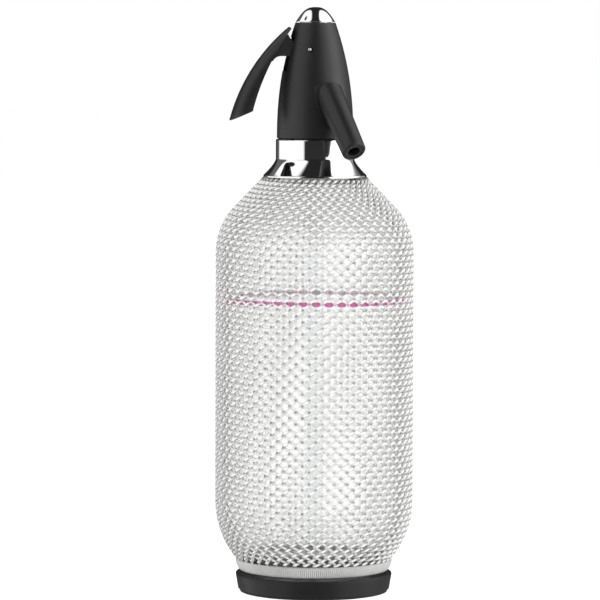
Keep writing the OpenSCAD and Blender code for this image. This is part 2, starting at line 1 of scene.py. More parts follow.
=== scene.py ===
"""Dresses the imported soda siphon: jacket of linked wire spirals, glass, chrome, moulded head and studio.

Lengths in the parts' dataclasses are millimetres in the part's own frame, which has +Z up, its origin at the
centre of the foot and the lever along -X. They become metres where a mesh is made.
"""
import json
import logging
import math
from dataclasses import dataclass
from enum import Enum
from typing import Callable, Dict, List, Optional, Sequence, Tuple, Union

import bpy
import numpy as np
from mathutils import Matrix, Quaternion, Vector
from numpy.typing import NDArray


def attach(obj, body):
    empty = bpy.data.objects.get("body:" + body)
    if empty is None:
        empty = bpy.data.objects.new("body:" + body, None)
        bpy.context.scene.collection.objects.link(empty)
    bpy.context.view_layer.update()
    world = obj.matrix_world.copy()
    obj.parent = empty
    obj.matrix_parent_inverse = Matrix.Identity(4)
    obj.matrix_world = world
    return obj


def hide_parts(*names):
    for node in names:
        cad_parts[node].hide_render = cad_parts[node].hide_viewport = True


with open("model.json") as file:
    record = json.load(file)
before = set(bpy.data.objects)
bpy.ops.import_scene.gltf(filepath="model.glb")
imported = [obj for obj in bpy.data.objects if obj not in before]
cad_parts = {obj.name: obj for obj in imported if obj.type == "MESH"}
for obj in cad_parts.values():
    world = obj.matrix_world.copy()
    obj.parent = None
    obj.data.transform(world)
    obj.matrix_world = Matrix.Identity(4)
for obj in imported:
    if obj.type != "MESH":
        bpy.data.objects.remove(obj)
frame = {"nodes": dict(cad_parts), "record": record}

logging.basicConfig(level=logging.INFO, format="%(name)s: %(message)s")
LOG = logging.getLogger("siphon")

Object, Tree, Node, Socket = bpy.types.Object, bpy.types.NodeTree, bpy.types.Node, bpy.types.NodeSocket
Arr = NDArray[np.float64]
RGB = Tuple[float, float, float]
Value = Union[float, Tuple[float, ...], Socket]
Inputs = Dict[Union[str, int], Value]
MM = 0.001
WHITE = (1.0, 1.0, 1.0, 1.0)
LATHE_CREASE = 40.0
CAD_CREASE = 32.0


class Slot(Enum):
    """The record's material slots."""

    GLASS = "clear_glass"
    PRINT = "pink_print"
    MESH = "mesh_steel"
    FOOT = "black_foot"
    PAD = "foot_rubber"
    CHROME = "chrome"
    SEAL = "seal_rubber"
    CHARCOAL = "charcoal_plastic"
    INSERT = "dark_plastic"
    STEEL = "spring_steel"
    BRASS = "valve_brass"
    TUBE = "clear_plastic"
    NUT = "white_plastic"


class Body(Enum):
    """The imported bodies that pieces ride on."""

    BOTTLE = "bottle"
    HEAD = "head"
    LEVER = "lever"
    CAP = "inlet_cap"


# ---- shader building


class Graph:
    """A short way to build one node tree."""

    def __init__(self, tree: Tree) -> None:
        """Keeps the tree that the nodes go into."""
        self.tree = tree

    def feed(self, node: Node, inputs: Inputs) -> None:
        """Links sockets to a node's inputs, or sets the inputs' own values.

        Args:
            node: The node.
            inputs: Input name or number to value or socket.
        """
        for key, value in inputs.items():
            if isinstance(value, Socket):
                self.tree.links.new(value, node.inputs[key])
            else:
                node.inputs[key].default_value = value

    def node(self, kind: str, inputs: Optional[Inputs] = None, **props: object) -> Node:
        """Adds a node.

        Args:
            kind: Blender's name of the node type.
            inputs: Input name or number to value or socket.
            **props: The node's own settings.

        Returns:
            The new node.
        """
        made = self.tree.nodes.new(kind)
        for key, value in props.items():
            setattr(made, key, value)
        self.feed(made, inputs or {})
        return made

    def calc(self, operation: str, a: Value, b: Value = 0.0, c: Value = 0.0) -> Socket:
        """Returns the output of a Math node."""
        return self.node("ShaderNodeMath", {0: a, 1: b, 2: c}, operation=operation).outputs[0]

    def span(self, x: Value, low: Value, high: Value, to_low: Value = 0.0, to_high: Value = 1.0) -> Socket:
        """Returns x carried smoothly from low..high to to_low..to_high."""
        return self.node("ShaderNodeMapRange", {0: x, 1: low, 2: high, 3: to_low, 4: to_high},
                         interpolation_type="SMOOTHSTEP").outputs[0]

    def blend(self, share: Value, a: RGB, b: RGB) -> Socket:
        """Returns the mix of two colours."""
        return self.node("ShaderNodeMix", {0: share, 6: (*a, 1.0), 7: (*b, 1.0)}, data_type="RGBA").outputs[2]

    def mix(self, share: Value, a: Value, b: Value) -> Socket:
        """Returns the mix of two values."""
        return self.node("ShaderNodeMix", {0: share, 2: a, 3: b}, data_type="FLOAT").outputs[0]

    def place(self) -> Socket:
        """Returns the object's own coordinates."""
        return self.node("ShaderNodeTexCoord").outputs["Object"]

    def noise(self, scale: Value, detail: float = 2.0, rough: float = 0.5) -> Socket:
        """Returns the value of a Noise Texture in the object's own coordinates."""
        return self.node("ShaderNodeTexNoise", {"Vector": self.place(), "Scale": scale, "Detail": detail,
                                                "Roughness": rough}).outputs[0]

    def effect(self, group: Tree, **inputs: Value) -> Socket:
        """Returns the output of a shared group; inputs that aren't given keep their defaults."""
        return self.node("ShaderNodeGroup", dict(inputs), node_tree=group).outputs[0]

    def bump(self, height: Socket, distance: float, strength: float) -> Socket:
        """Returns the normal of a Bump node. The distance is in metres."""
        return self.node("ShaderNodeBump", {"Height": height, "Distance": distance,
                                            "Strength": strength}).outputs["Normal"]


class Effects:
    """Shader node groups that several finishes share, each built once."""

    def __init__(self) -> None:
        """Builds the groups."""
        self.grain = self._grain()
        self.handling = self._handling()
        self.wear = self._wear()

    @staticmethod
    def _start(name: str, ins: Dict[str, float], out: str) -> Tuple[Graph, Dict[str, Socket], Node]:
        """Makes a group with float inputs of these defaults and one float output.

        Returns:
            The graph, its inputs by name and its output node.
        """
        tree = bpy.data.node_groups.new(name, "ShaderNodeTree")
        for label, value in ins.items():
            made = tree.interface.new_socket(label, in_out="INPUT", socket_type="NodeSocketFloat")
            made.default_value = value
        tree.interface.new_socket(out, in_out="OUTPUT", socket_type="NodeSocketFloat")
        g = Graph(tree)
        sockets = g.node("NodeGroupInput").outputs
        return g, {label: sockets[label] for label in ins}, g.node("NodeGroupOutput")

    def _grain(self) -> Tree:
        """Fine moulded or drawn grain: Height is a fine noise plus a share of one three times as coarse."""
        g, ins, end = self._start("fine_grain", {"Scale": 1500.0, "Coarse Share": 0.4}, "Height")
        fine = g.noise(ins["Scale"], 3.0, 0.6)
        coarse = g.noise(g.calc("MULTIPLY", ins["Scale"], 0.33))
        g.feed(end, {"Height": g.calc("MULTIPLY_ADD", coarse, ins["Coarse Share"], fine)})
        return g.tree

    def _handling(self) -> Tree:
        """Marks of handling: Mask is a soft cloud, for small changes of roughness and tint."""
        g, ins, end = self._start("handling", {"Scale": 60.0, "Contrast": 0.25}, "Mask")
        cloud = g.noise(ins["Scale"], 4.0, 0.62)
        low, high = (g.calc(sign, 0.5, ins["Contrast"]) for sign in ("SUBTRACT", "ADD"))
        g.feed(end, {"Mask": g.span(cloud, low, high)})
        return g.tree

    def _wear(self) -> Tree:
        """Wear along edges: Mask grows where the surface bends outwards, broken up by noise."""
        g, ins, end = self._start("edge_wear", {"Start": 0.54, "End": 0.68, "Scale": 400.0}, "Mask")
        bend = g.node("ShaderNodeNewGeometry").outputs["Pointiness"]
        edge = g.span(bend, ins["Start"], ins["End"])
        g.feed(end, {"Mask": g.calc("MULTIPLY", edge, g.noise(ins["Scale"], 3.0))})
        return g.tree


def new_material(name: str) -> Tuple[bpy.types.Material, Graph, Node]:
    """Makes a node material.

    Args:
        name: The material's name.

    Returns:
        The material, its graph and its Principled shader.
    """
    made = bpy.data.materials.new(name)
    made.use_nodes = True
    return made, Graph(made.node_tree), made.node_tree.nodes["Principled BSDF"]


@dataclass(frozen=True)
class Finish:
    """A kind of finish. In each, cloud and grain are noise scales and depth is in metres."""

    name: str
    shade: RGB

    def inputs(self, g: Graph, fx: Effects) -> Inputs:
        """Builds what the Principled shader is fed with.

        Args:
            g: The material's graph.
            fx: The shared effects.

        Returns:
            The shader's inputs by name.
        """
        raise NotImplementedError

    def make(self, fx: Effects) -> bpy.types.Material:
        """Builds the material.

        Args:
            fx: The shared effects.

        Returns:
            The material.
        """
        made, g, shader = new_material(self.name)
        g.feed(shader, self.inputs(g, fx))
        return made


@dataclass(frozen=True)
class Moulding(Finish):
    """A moulded plastic or rubber: dark or pale body, worn edges, fine grain, soft sheen."""

    worn: RGB
    roughness: float = 0.45
    spread: float = 0.06
    grain: float = 1600.0
    depth: float = 0.00002
    specular: float = 0.5
    cloud: float = 70.0
    relief: float = 0.6

    def inputs(self, g: Graph, fx: Effects) -> Inputs:
        """Wear changes the colour, the cloud changes the roughness, and grain makes the bump."""
        cloud = g.effect(fx.handling, Scale=self.cloud)
        return {"Base Color": g.blend(g.effect(fx.wear), self.shade, self.worn),
                "Roughness": g.calc("MULTIPLY_ADD", cloud, self.spread, self.roughness - self.spread / 2),
                "Specular IOR Level": self.specular,
                "Normal": g.bump(g.effect(fx.grain, Scale=self.grain), self.depth, self.relief)}


@dataclass(frozen=True)
class Metal(Finish):
    """A metal, polished or turned. Turning marks are rings of roughness and height along the Z axis."""

    tint: RGB
    roughness: float = 0.05
    spread: float = 0.03
    marks: float = 0.0
    rings: float = 398.0892
    marks_dull: float = 0.2
    cloud: float = 45.0
    grain: float = 2400.0
    depth: float = 0.000004
    relief: float = 0.25

    def inputs(self, g: Graph, fx: Effects) -> Inputs:
        """The cloud changes colour and roughness, and grain and rings make the bump."""
        cloud = g.effect(fx.handling, Scale=self.cloud)
        rough = g.calc("MULTIPLY_ADD", cloud, self.spread, self.roughness)
        height = g.effect(fx.grain, Scale=self.grain)
        if self.marks > 0.0:
            rings = g.node("ShaderNodeTexWave", {"Vector": g.place(), "Scale": self.rings, "Distortion": 1.5,
                                                 "Detail": 2.0}, bands_direction="Z").outputs[0]
            rough = g.calc("MULTIPLY_ADD", rings, self.marks * self.marks_dull, rough)
            height = g.calc("MULTIPLY_ADD", rings, self.marks, height)
        return {"Base Color": g.blend(cloud, self.shade, self.tint), "Metallic": 1.0, "Roughness": rough,
                "Normal": g.bump(height, self.depth, self.relief)}


@dataclass(frozen=True)
class Wire(Finish):
    """Bright tinned wire, darkened by its own "hook" attribute: painted shade where the spirals hook into
    each other, painted shadow under the flange and on the gathering wire, and an even darkening on the hem.
    """

    darkening: RGB
    roughness: float = 0.6
    metallic: float = 0.04
    specular: float = 0.15
    darkening_share: float = 0.8
    uneven: float = 0.3
    dull: float = 0.3
    cloud: float = 90.0
    grain: float = 3000.0
    depth: float = 0.000006
    relief: float = 0.3

    def inputs(self, g: Graph, fx: Effects) -> Inputs:
        """The mesh's own "hook" attribute, broken up by the cloud, darkens the colour, as painted shade on
        the spirals and the gathering wire and evenly on the hem, and raises the roughness.
        """
        hook = g.node("ShaderNodeAttribute", attribute_name="hook").outputs["Fac"]
        cloud = g.effect(fx.handling, Scale=self.cloud)
        # Painted shade at the hooks and under the flange, and the hem's even darkening, mixed into the
        # colour.
        darkening = g.calc("MULTIPLY", hook, g.calc("MULTIPLY_ADD", cloud, self.uneven, self.darkening_share))
        return {"Base Color": g.blend(darkening, self.shade, self.darkening),
                "Roughness": g.calc("MULTIPLY_ADD", darkening, self.dull, self.roughness),
                "Metallic": self.metallic, "Specular IOR Level": self.specular,
                "Normal": g.bump(g.effect(fx.grain, Scale=self.grain), self.depth, self.relief)}


@dataclass(frozen=True)
class Clear(Finish):
    """Glass or clear plastic; a faint ripple stands for blown or drawn walls."""

    ior: float = 1.5
    roughness: float = 0.0
    ripple: float = 0.00002
    cloud: float = 40.0
    contrast: float = 0.5
    relief: float = 0.5

    def inputs(self, g: Graph, fx: Effects) -> Inputs:
        """Plain values, and the cloud makes the ripple."""
        cloud = g.effect(fx.handling, Scale=self.cloud, Contrast=self.contrast)
        return {"Base Color": (*self.shade, 1.0), "Roughness": self.roughness, "IOR": self.ior,
                "Transmission Weight": 1.0, "Normal": g.bump(cloud, self.ripple, self.relief)}


@dataclass(frozen=True)
class Ink(Finish):
    """A line printed on glass, a little uneven in strength."""

    thin: RGB
    roughness: float = 0.35
    spread: float = 0.15
    cloud: float = 500.0

    def inputs(self, g: Graph, fx: Effects) -> Inputs:
        """The cloud changes colour and roughness."""
        cloud = g.effect(fx.handling, Scale=self.cloud)
        return {"Base Color": g.blend(cloud, self.shade, self.thin),
                "Roughness": g.calc("MULTIPLY_ADD", cloud, self.spread, self.roughness)}


FINISHES: Dict[Slot, Finish] = {
    Slot.GLASS: Clear("clear_bottle_glass", (0.99, 0.995, 0.99), roughness=0.13),
    Slot.PRINT: Ink("printed_fill_line", (0.72, 0.13, 0.42), (0.74, 0.26, 0.5)),
    # The wire's second colour is the dark of its painted shade and of the hem's even darkening.
    Slot.MESH: Wire("tinned_wire", (0.97, 0.97, 0.96), (0.06, 0.06, 0.056)),
    Slot.FOOT: Moulding("black_foot_moulding", (0.015, 0.015, 0.0152), (0.04, 0.04, 0.04), roughness=0.36,
                        spread=0.08, grain=900.0, specular=0.22),
    Slot.PAD: Moulding("foot_pad_rubber", (0.012, 0.012, 0.012), (0.03, 0.03, 0.03), roughness=0.72,
                       spread=0.1, grain=700.0, depth=0.00005),
    Slot.CHROME: Metal("mirror_chrome", (0.93, 0.93, 0.94), (0.9, 0.9, 0.9), roughness=0.015),
    Slot.SEAL: Moulding("seal_rubber_black", (0.02, 0.02, 0.02), (0.05, 0.05, 0.05), roughness=0.65,
                        spread=0.1, grain=900.0),
    Slot.CHARCOAL: Moulding("charcoal_satin_moulding", (0.0085, 0.0085, 0.008), (0.04, 0.04, 0.038),
                            roughness=0.42, spread=0.07, grain=1700.0, depth=0.00003),
    Slot.INSERT: Moulding("dark_insert_moulding", (0.006, 0.006, 0.006), (0.02, 0.02, 0.02), roughness=0.4),
    Slot.STEEL: Metal("turned_steel", (0.62, 0.62, 0.62), (0.55, 0.55, 0.54), roughness=0.22, spread=0.08,
                      marks=0.6),
    Slot.BRASS: Metal("turned_brass", (0.78, 0.58, 0.27), (0.66, 0.46, 0.2), roughness=0.2, spread=0.12,
                      marks=0.6),
    Slot.TUBE: Clear("clear_dip_tube", (0.96, 0.97, 0.97), ior=1.49, roughness=0.06, ripple=0.00004),
    Slot.NUT: Moulding("white_nut_moulding", (0.78, 0.77, 0.72), (0.85, 0.84, 0.8), roughness=0.4,
                       spread=0.08),
}


# ---- surfaces


def link(name: str, data: bpy.types.ID) -> Object:
    """Returns a new object with this data, linked into the scene."""
    made = bpy.data.objects.new(name, data)
    bpy.context.scene.collection.objects.link(made)
    return made


def circle(steps: int) -> Arr:
    """Returns the angles of even steps round a circle."""
    return np.linspace(0.0, 2 * np.pi, steps, endpoint=False)


def polar(r: Arr, a: Arr, z: Arr) -> Arr:
    """Returns points (r cos a, r sin a, z) along a new last axis; r, a and z are spread over each other."""
    return np.stack(np.broadcast_arrays(r * np.cos(a), r * np.sin(a), z), -1)


def put_mesh(name: str, verts: Arr, faces: Sequence[Arr], crease: float = LATHE_CREASE) -> Object:
    """Makes a smoothly shaded object of vertices in millimetres and arrays of faces with 3 or 4 corners each.

    Args:
        name: The piece's name.
        verts: Points, N by 3, in millimetres.
        faces: Index arrays, M by 3 or M by 4. They are turned outwards together, by the sign of the volume.
        crease: Angle in degrees over which an edge stays sharp; at 180 none does.

    Returns:
        The object, at the origin, in metres.
    """
    flow = 0.0
    for part in faces:
        for k in range(1, part.shape[1] - 1):
            a, b, c = verts[part[:, 0]], verts[part[:, k]], verts[part[:, k + 1]]
            flow += float(np.einsum("ij,ij->i", a, np.cross(b, c)).sum())
    turned = [part[:, ::-1] if flow < 0 else part for part in faces]
    sizes = np.concatenate([np.full(len(part), part.shape[1]) for part in turned])
    corners = np.concatenate([part.ravel() for part in turned]).astype(np.int32)
    mesh = bpy.data.meshes.new(name)
    mesh.vertices.add(len(verts))
    mesh.vertices.foreach_set("co", (verts * MM).astype(np.float32).ravel())
    mesh.loops.add(len(corners))
    mesh.loops.foreach_set("vertex_index", corners)
    mesh.polygons.add(len(sizes))
    mesh.polygons.foreach_set("loop_start", np.concatenate([[0], np.cumsum(sizes)[:-1]]).astype(np.int32))
    mesh.update(calc_edges=True)
    mesh.validate()
    mesh.polygons.foreach_set("use_smooth", np.ones(len(sizes), bool))
    if crease < 180.0:
        mesh.set_sharp_from_angle(angle=math.radians(crease))
    return link(name, mesh)


def grid_faces(rows: int, cols: int, wrap: bool) -> Arr:
    """Quads of a grid of points, closed round the columns and, where wrap says so, the rows.

    Their corners are (i, j), (i+1, j), (i+1, j+1) and (i, j+1), counted modulo rows and columns.
    """
    i, j = np.meshgrid(np.arange(rows if wrap else rows - 1), np.arange(cols), indexing="ij")
    i2, j2 = (i + 1) % rows, (j + 1) % cols
    return np.stack([i * cols + j, i2 * cols + j, i2 * cols + j2, i * cols + j2], -1).reshape(-1, 4)


def lathe(name: str, profile: Arr, around: int, place: Optional[Callable[[Arr], Arr]] = None) -> Object:
    """Turns a profile about the Z axis: point (r cos a, r sin a, z) for each profile point and angle a.

    Args:
        name: The piece's name.
        profile: Points (r, z) in millimetres. It starts and ends on the axis, or is a loop clear of it.
        around: Steps round the axis.
        place: Carries the points, N by 3, to their place on the part.

    Returns:
        The object.
    """
    on_axis = bool(profile[0, 0] < 1e-6 and profile[-1, 0] < 1e-6)
    body = profile[1:-1] if on_axis else profile
    verts = polar(body[:, :1], circle(around), body[:, 1:]).reshape(-1, 3)
    faces = [grid_faces(len(body), around, not on_axis)]
    if on_axis:
        k = np.arange(around)
        low, high, last = len(verts), len(verts) + 1, (len(body) - 1) * around
        verts = np.vstack([verts, [[0.0, 0.0, profile[0, 1]], [0.0, 0.0, profile[-1, 1]]]])
        faces.append(np.stack([np.full(around, low), k, (k + 1) % around], -1))
        faces.append(np.stack([np.full(around, high), last + (k + 1) % around, last + k], -1))
    return put_mesh(name, place(verts) if place else verts, faces)


def soften(points: Sequence[Tuple[float, float, float]], steps: int = 5, guard: float = 0.15) -> Arr:
    """Rounds the corners of a profile: each corner P of radius q becomes an arc that touches both its sides.

    The arc's ends are q / tan(w / 2) from P on each side, where w is the angle between the sides there.

    Args:
        points: Triples (r, z, q); q = 0 keeps the corner.
        steps: Steps of each arc.
        guard: How far past each end a point keeps the straight parts straight in the shading.

    Returns:
        The profile, N by 2.
    """
    out: List[Arr] = []
    pts = np.array(points, float)
    for k, (r, z, q) in enumerate(pts):
        here = np.array([r, z])
        if q <= 0.0 or k in (0, len(pts) - 1):
            out.append(here[None])
            continue
        u, v = pts[k - 1, :2] - here, pts[k + 1, :2] - here
        u, v = u / np.linalg.norm(u), v / np.linalg.norm(v)
        half = math.acos(float(np.clip(u @ v, -1, 1))) / 2
        reach = q / math.tan(half)
        centre = here + (u + v) / np.linalg.norm(u + v) * q / math.sin(half)
        p0, p1 = here + u * reach - centre, here + v * reach - centre
        a0, a1 = math.atan2(p0[1], p0[0]), math.atan2(p1[1], p1[0])
        a1 = a0 + (a1 - a0 + math.pi) % (2 * math.pi) - math.pi
        a = np.linspace(a0, a1, steps + 1)
        out += [(here + u * (reach + guard))[None], centre + q * np.stack([np.cos(a), np.sin(a)], -1),
                (here + v * (reach + guard))[None]]
    return np.vstack(out)


def wires(name: str, lines: Arr, up: Arr, radius: float, sides: int = 6,
          closed: bool = False) -> Tuple[Object, Arr]:
    """Makes round wires along several lines at once, with closed ends.

    Ring point = line point + radius (cos a * n + sin a * s), where s = tangent x up and n = s x tangent.

    Args:
        name: The piece's name.
        lines: Points, lines by steps by 3, in millimetres.
        up: A direction at each point that is never along the line.
        radius: Radius of the wire.
        sides: Corners of its section.
        closed: Whether each line is a loop.

    Returns:
        The object, and its rings of vertices, lines by steps by sides by 3.
    """
    if closed:
        tangent = np.roll(lines, -1, 1) - np.roll(lines, 1, 1)
    else:
        tangent = np.gradient(lines, axis=1)
    tangent /= np.linalg.norm(tangent, axis=-1, keepdims=True)
    s = np.cross(tangent, up)
    s /= np.linalg.norm(s, axis=-1, keepdims=True)
    n = np.cross(s, tangent)
    a = circle(sides)[:, None]
    rings = lines[:, :, None] + radius * (np.cos(a) * n[:, :, None] + np.sin(a) * s[:, :, None])
    count, steps = lines.shape[:2]
    first = (np.arange(count) * steps * sides)[:, None]
    faces = [(grid_faces(steps, sides, closed)[None] + first[:, None]).reshape(-1, 4)]
    verts = rings.reshape(-1, 3)
    if not closed:
        k, base, line = np.arange(sides), len(verts), np.arange(count)[:, None]
        following, last = (k + 1) % sides, first + (steps - 1) * sides
        low = np.stack(np.broadcast_arrays(base + 2 * line, first + following, first + k), -1)
        high = np.stack(np.broadcast_arrays(base + 2 * line + 1, last + k, last + following), -1)
        faces += [low.reshape(-1, 3), high.reshape(-1, 3)]
        verts = np.vstack([verts, np.stack([lines[:, 0], lines[:, -1]], 1).reshape(-1, 3)])
    return put_mesh(name, verts, faces, crease=180.0), rings


class Dresser:
    """Gives pieces their body, slot and finish."""

    def __init__(self) -> None:
        """Builds every finish."""
        effects = Effects()
        self.finish: Dict[Slot, bpy.types.Material] = {s: f.make(effects) for s, f in FINISHES.items()}

    def paint(self, obj: Object, slot: Slot) -> None:
        """Gives an object the finish of a slot as its only material."""
        obj.data.materials.clear()
        obj.data.materials.append(self.finish[slot])

    def piece(self, obj: Object, body: Body, slot: Slot, *stands_for: str) -> None:
        """Finishes a new piece.

        Args:
            obj: The piece.
            body: The body it rides on.
            slot: Its material slot.
            *stands_for: CAD nodes that it replaces.
        """
        self.paint(obj, slot)
        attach(obj, body.value)
        if stands_for:
            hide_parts(*stands_for)
        LOG.info("%s: %d faces, on %s", obj.name, len(obj.data.polygons), body.value)

    def nodes(self) -> None:
        """Puts the record's slots on every CAD node."""
        for part in frame["record"]["subparts"]:
            self.paint(frame["nodes"][part["node"]], Slot(part["material_slot"]))

    def smooth_copy(self, node: str, name: str, body: Body, slot: Slot) -> None:
        """Stands a merged, smoothly shaded copy of a CAD node in its place.

        Args:
            node: The CAD node.
            name: The copy's name.
            body: The body it rides on.
            slot: Its material slot.
        """
        source = frame["nodes"][node].data
        co = np.empty(len(source.vertices) * 3, np.float32)
        source.vertices.foreach_get("co", co)
        tri = np.empty(len(source.loops), np.int32)
        source.loops.foreach_get("vertex_index", tri)
        keys = np.round(co.reshape(-1, 3).astype(float) / MM, 4)
        verts, index = np.unique(keys, axis=0, return_inverse=True)
        faces = index.reshape(-1)[tri].reshape(-1, 3)
        keep = (faces[:, 0] != faces[:, 1]) & (faces[:, 1] != faces[:, 2]) & (faces[:, 2] != faces[:, 0])
        self.piece(put_mesh(name, verts, [faces[keep]], CAD_CREASE), body, slot, node)


class Part:
    """A group of pieces of the siphon."""

    def build(self, dress: Dresser) -> None:
        """Makes the pieces.

        Args:
            dress: Gives the pieces their finish.
        """
        raise NotImplementedError


# ---- the bottle and its jacket


@dataclass(frozen=True)
class BottleShape:
    """The profile of the glass: base curve, wall, shoulder curve, slope, hollow curve and neck."""

    radius: float = 50.9
    wall: float = 3.5
    foot: float = 5.0
    low_z: float = 50.0
    high_z: float = 187.0
    base_round: float = 45.9
    shoulder_round: float = 32.4
    angle: float = 44.0
    neck: float = 17.5
    fillet: float = 5.0
    neck_len: float = 8.5
    bead: float = 0.9

    @property
    def turn(self) -> float:
        """The shoulder's angle in radians."""
        return math.radians(self.angle)

    @property
    def low_c(self) -> Arr:
        """Centre of the base curve."""
        return np.array([self.radius - self.base_round, self.low_z])

    @property
    def high_c(self) -> Arr:
        """Centre of the shoulder curve."""
        return np.array([self.radius - self.shoulder_round, self.high_z])

    @property
    def slope(self) -> float:
        """Distance of the straight slope from the origin: r cos turn + z sin turn on it."""
        return float(self.high_c @ [math.cos(self.turn), math.sin(self.turn)]) + self.shoulder_round

    @property
    def fillet_c(self) -> Arr:
        """Centre of the hollow curve at the neck: it touches the slope and the neck."""
        x = self.neck + self.fillet
        return np.array([x, (self.slope + self.fillet - x * math.cos(self.turn)) / math.sin(self.turn)])

    @property
    def neck_top(self) -> float:
        """Height of the glass mouth."""
        return float(self.fillet_c[1]) + self.neck_len

    @staticmethod
    def arc(centre: Arr, radius: float, start: float, end: float, steps: int) -> Arr:
        """Points centre + radius (cos t, sin t) for t from start to end."""
        t = np.linspace(start, end, steps)[:, None]
        return centre + radius * np.hstack([np.cos(t), np.sin(t)])

    def skin(self, low: float, off: float) -> Arr:
        """The skin from height low up to the neck, moved out by off, as points (r, z)."""
        start = math.asin((low - self.low_z) / (self.base_round + off))
        return np.vstack([self.arc(self.low_c, self.base_round + off, start, 0.0, 48),
                          self.arc(self.high_c, self.shoulder_round + off, 0.0, self.turn, 32),
                          self.arc(self.fillet_c, self.fillet - off, math.pi + self.turn, math.pi, 14)])


@dataclass(frozen=True)
class Bottle(Part):
    """The glass and the fill line printed on it."""

    shape: BottleShape = BottleShape()
    line_z: float = 161.5
    line_w: float = 2.5
    line_t: float = 0.15

    def build(self, dress: Dresser) -> None:
        """Makes the glass and the fill line."""
        s = self.shape
        top, inner = s.neck_top, s.neck - s.wall
        mouth = soften([(s.neck, top - 5.6, 0), (s.neck, top - 4.9, 0.5), (s.neck + s.bead, top - 4.0, 0.5),
                        (s.neck + s.bead, top - 0.9, 0.8), (s.neck, top, 0.4), (inner, top, 0.8),
                        (inner, top - 2, 0)])
        down = s.skin(s.foot + s.wall, -s.wall)[::-1]
        glass = np.vstack([[[0.0, s.foot]], s.skin(s.foot, 0.0), mouth, down, [[0.0, s.foot + s.wall]]])
        dress.piece(lathe("bottle_glass", glass, 192), Body.BOTTLE, Slot.GLASS, "glass_bottle")
        r0, h = s.radius + 0.01, self.line_w / 2
        ring = np.array([[r0, self.line_z - h], [r0 + self.line_t, self.line_z - h + 0.05],
                         [r0 + self.line_t, self.line_z + h - 0.05], [r0, self.line_z + h]])
        dress.piece(lathe("fill_line_print", ring, 192), Body.BOTTLE, Slot.PRINT, "fill_line")


